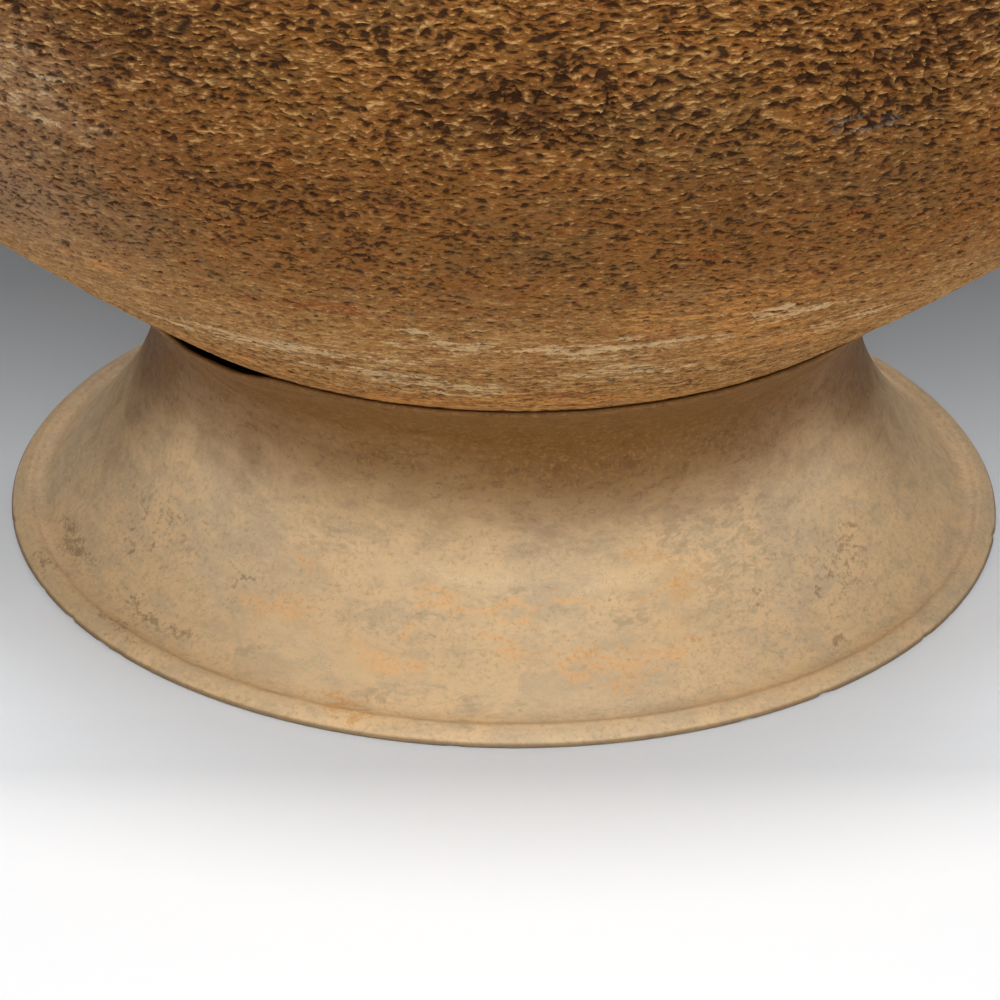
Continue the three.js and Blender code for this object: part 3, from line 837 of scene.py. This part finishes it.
def makeStand():
    skin = Skin()
    angles = ringAngles(stand["columns"], dense=0.6, reach=75, fade=100)
    rimEnd, seatEnd = standEnds["rimEnd"], standEnds["seatEnd"]
    whole = seatEnd + stand["insideMap"] * (standSkin.length - seatEnd)
    bands = [
        (1, standSkin.rows(0.6 * mm, stand["lipStart"], stand["footRow"])),
        (1, standSkin.rows(stand["lipStart"] + 0.4 * mm, stand["lipEnd"], stand["lipRow"])),
        (1, standSkin.rows(stand["lipEnd"] + stand["flareRow"], rimEnd - 4 * mm, stand["flareRow"])),
        (1, standSkin.rows(rimEnd - 3.7 * mm, rimEnd, stand["rimRow"])),
        (1, standSkin.rows(rimEnd + 0.8 * mm, seatEnd, stand["seatRow"])),
        (2, standSkin.rows(seatEnd + 0.8 * mm, standSkin.length - 0.5 * mm, stand["insideRow"])),
    ]
    for every, along in bands:
        depth, marks = standRelief(angles[::every], along)
        radius, height = sink(standSkin, along, depth)
        height = dipRim(angles[::every], height)
        mapped = np.minimum(along, seatEnd + stand["insideMap"] * (along - seatEnd)) / whole
        skin.band(angles[::every], radius, np.maximum(height, 0), mapped, marks)
    skin.close(1.0)
    piece = skin.build("standBody")
    print("stand:", len(piece.data.polygons), "faces")
    return piece


def standClay():
    r = Recipe("standClay", **{"Specular IOR Level": 0.28})
    tone = stand["tones"]
    even, flat = r.place(), r.place(1.8)
    broad = r.noise(even, 0.045, 4, 0.6)
    middle = r.noise(flat, 0.013, 6, 0.7, 0.4)
    small = r.noise(flat, 0.0045, 5, 0.7)
    fine = r.noise(even, 0.0016, 3, 0.8)

    # the ground, and its patches
    colour = r.ramp(broad, tone["ground"])
    colour = r.mix(r.span(middle, 0.47, 0.62, 0, 0.45), colour, tone["dull"])
    colour = r.mix(r.span(middle, 0.47, 0.36, 0, 0.4), colour, tone["warm"])
    colour = r.mix(r.span(small, 0.5, 0.64, 0, 0.22), colour, tone["dusty"])
    ragged = r.mix(0.5, small, fine)
    for mark, noise, low, high, share in (
        ("grey", small, 1.0, 1.6, 0.4),
        ("salmon", ragged, 0.9, 1.4, 0.6),
        ("ochre", ragged, 1.1, 1.6, 0.55),
        ("cream", fine, 1.1, 1.5, 0.6),
        ("stain", ragged, 0.9, 1.7, 0.5),
    ):
        colour = r.mix(r.times(r.mask(r.mark(mark), noise, low, high), share), colour, tone[mark])

    # painted shade on the upper part, under the pot's belly, with darker and paler specks in it
    cloud = r.mix(0.5, broad, middle)
    neck = r.math("ADD", r.mark("neck"), r.times(r.math("SUBTRACT", cloud, 0.5), 0.6))
    colour = r.mix(r.span(neck, 0.05, 1.15, 0, 0.95), colour, tone["neckShade"])
    neckShade = r.span(neck, 0.3, 0.9)
    colour = r.mix(r.times(neckShade, r.span(fine, 0.5, 0.66, 0, 0.5)), colour, tone["neckShadePale"])
    colour = r.mix(r.times(neckShade, r.span(ragged, 0.49, 0.41, 0, 0.4)), colour, tone["neckShadeDark"])
    pepper = r.span(neck, 0.2, 0.9, 1, 0.3)
    colour = r.mix(r.times(pepper, r.span(fine, 0.5, 0.66, 0, 0.3)), colour, tone["darkPepper"])
    colour = r.mix(r.times(pepper, r.span(fine, 0.44, 0.32, 0, 0.25)), colour, tone["palePepper"])

    # dirt in the pits; painted shade along the foot's bottom edge, and in the seat under the pot
    colour = r.mix(r.span(r.mark("hollow"), 0.1, 0.5, 0, 0.6), colour, tone["pit"])
    footEnd, rimEnd, seatEnd = standEnds["footEnd"], standEnds["rimEnd"], standEnds["seatEnd"]
    up = r.mark("up")
    # painted shadow: a dark line along the foot's bottom edge, where it meets the floor
    colour = r.mix(r.span(up, footEnd + 0.2 * mm, footEnd + 1.2 * mm, 0.7, 0), colour, tone["footEdge"])
    # painted shade in the seat's gap under the pot, on the rim's edge and less further in
    seatShade = r.span(up, rimEnd - 1.4 * mm, rimEnd - 0.2 * mm, 0, 0.95)  # in the seat, and less below it
    seatShade = r.times(seatShade, r.span(up, rimEnd + 8 * mm, seatEnd + 12 * mm, 1, 0.3))
    colour = r.mix(seatShade, colour, tone["seatShade"])
    roughness = r.span(middle, 0.3, 0.7, 0.5, 0.68)
    return r.finish(colour, roughness, [(middle, 0.25 * mm), (fine, 0.12 * mm)])


# Studio

studio = {
    "elevation": 28.68, "roll": 0.83,  # of the camera, in degrees
    "distance": 1.68, "focal": 211.9, "sensor": 36,  # metres, then mm
    "sideways": -1.13 * mm, "targetHeight": -1.56 * mm,  # the point that it looks at
    # each lamp: degrees round from the front and above the floor, its light, and its width in metres
    "lampDistance": 2.2, "lampAim": 0.12,
    "lamps": {"top": (0, 68, 0.85, 0.9), "front": (0, 30, 0.38, 0.9), "left": (-60, 36, 0.15, 0.9),
              "right": (60, 36, 0.2, 0.9), "back": (180, 34, 0.25, 0.9)},
    "airColour": clay(235, 235, 235), "airStrength": 0.06,
    "floorHalf": 6.0, "floorDrop": 0.05 * mm, "floorRoughness": 0.9,
    "floorClay": 0.8,  # how much light the paper gives back
    "glowReach": 0.2, "glowEnd": 0.5,  # how far to either side the paper glows, in metres
    "floorTilt": 0.03,  # the paper's tones run level with the picture, which the camera's roll turns
    # by distance from the middle, front to back: how bright the paper looks, of itself or as it is lit,
    # and how far its colour is cooled against the warm light that the pot throws on it.
    # The glow and the higher tones beside the foot are painted light over the pot's shadow on the paper;
    # the dip just in front of the foot is a painted shadow
    "paintedFloorLight": [(-0.26, 0.0, 0.0), (-0.13, 0.0, 0.0), (-0.092, 0.065, 0.0), (-0.064, 0.09, 0.0),
                  (-0.036, 0.03, 0.0), (-0.01, 0.0, 0.0), (0.6, 0.0, 0.0)],
    "floorTone": [(-0.26, 0.775, 0.015), (-0.20, 0.775, 0.015), (-0.17, 0.775, 0.025),
                  (-0.149, 0.745, 0.045), (-0.135, 0.82, 0.055), (-0.118, 0.895, 0.06),
                  (-0.092, 0.94, 0.07), (-0.036, 0.95, 0.08), (-0.007, 0.88, 0.08), (0.023, 0.82, 0.08),
                  (0.054, 0.74, 0.08), (0.079, 0.67, 0.08), (0.099, 0.615, 0.08), (0.119, 0.56, 0.07),
                  (0.136, 0.50, 0.07), (0.25, 0.36, 0.05), (0.6, 0.2, 0.03)],
}


def makeCamera():
    rise, roll = math.radians(studio["elevation"]), math.radians(studio["roll"])
    right, up = Vector((1, 0, 0)), Vector((0, math.sin(rise), math.cos(rise)))
    ahead = Vector((0, math.cos(rise), -math.sin(rise)))
    place = Vector((0, 0, studio["targetHeight"])) - ahead * studio["distance"] + right * studio["sideways"]
    across = right * math.cos(roll) + up * math.sin(roll)
    upright = up * math.cos(roll) - right * math.sin(roll)
    data = bpy.data.cameras.new("camera")
    data.lens, data.sensor_width = studio["focal"], studio["sensor"]
    camera = bpy.data.objects.new("camera", data)
    bpy.context.scene.collection.objects.link(camera)
    turned = Matrix((across, upright, -ahead)).transposed()
    camera.matrix_world = Matrix.Translation(place) @ turned.to_4x4()
    bpy.context.scene.camera = camera


def makeFloor():
    half = studio["floorHalf"]
    mesh = bpy.data.meshes.new("floor")
    corners = [(-half, -half, 0), (half, -half, 0), (half, half, 0), (-half, half, 0)]
    mesh.from_pydata(corners, [], [(0, 1, 2, 3)])
    floor = bpy.data.objects.new("floor", mesh)
    floor.location.z = -studio["floorDrop"]
    bpy.context.scene.collection.objects.link(floor)
    r = Recipe("floorPaper", Roughness=studio["floorRoughness"], **{"Specular IOR Level": 0.0})
    split = r.tree.nodes.new("ShaderNodeSeparateXYZ")
    r.give(split.inputs[0], r.node("TexCoord", {}, "Object"))
    depth = r.math("SUBTRACT", split.outputs[1], r.times(split.outputs[0], studio["floorTilt"]))

    def tones(stops):
        low, high = stops[0][0], stops[-1][0]
        share = r.node("MapRange", {0: depth, 1: low, 2: high})
        greys = [(g * (1 - cool), g, g * (1 + cool), 1) for _, g, cool in stops]
        return r.ramp(share, [((stop[0] - low) / (high - low), grey) for stop, grey in zip(stops, greys)])

    # the tones are only for the camera: the object is lit by plain paper
    path = r.tree.nodes.new("ShaderNodeLightPath").outputs
    seen = r.math("MAXIMUM", path["Is Camera Ray"], path["Is Glossy Ray"])
    seen = r.math("MAXIMUM", seen, path["Is Transmission Ray"])
    plain = [studio["floorClay"]] * 3 + [1]
    r.give(r.shader.inputs["Base Color"], r.mix(seen, plain, tones(studio["floorTone"])))
    r.give(r.shader.inputs["Emission Color"], tones(studio["paintedFloorLight"]))
    aside = r.span(r.math("ABSOLUTE", split.outputs[0]), studio["glowReach"], studio["glowEnd"], 1, 0)
    r.give(r.shader.inputs["Emission Strength"], r.times(seen, aside))
    mesh.materials.append(r.material)


def makeLamp(name, azimuth, elevation, light, size):
    turn, rise, distance = math.radians(azimuth), math.radians(elevation), studio["lampDistance"]
    middle = Vector((0, 0, studio["lampAim"]))
    away = Vector((math.sin(turn) * math.cos(rise), -math.cos(turn) * math.cos(rise), math.sin(rise)))
    data = bpy.data.lights.new(name + "Lamp", "AREA")
    data.shape, data.size = "DISK", size
    data.energy = light * (math.pi * distance) ** 2  # at light 1, a white surface facing it looks white
    lamp = bpy.data.objects.new(name + "Lamp", data)
    lamp.location = middle + away * distance
    lamp.rotation_euler = (-away).to_track_quat("-Z", "Y").to_euler()
    bpy.context.scene.collection.objects.link(lamp)


def makeStudio():
    makeCamera()
    makeFloor()
    for name, setting in studio["lamps"].items():
        makeLamp(name, *setting)
    world = bpy.data.worlds.new("studioAir")
    world.use_nodes = True
    background = world.node_tree.nodes["Background"]
    background.inputs[0].default_value = studio["airColour"]
    background.inputs[1].default_value = studio["airStrength"]
    bpy.context.scene.world = world
    bpy.context.scene.view_settings.view_transform = "Standard"
    print("studio: camera, floor, lights and air")


# Everything together

makeStudio()

potPiece = makePot()
potPiece.data.materials.append(potClay())
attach(potPiece, "pot")
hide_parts("storage_pot")

standPiece = makeStand()
standPiece.data.materials.append(standClay())
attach(standPiece, "stand")
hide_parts("pot_stand")
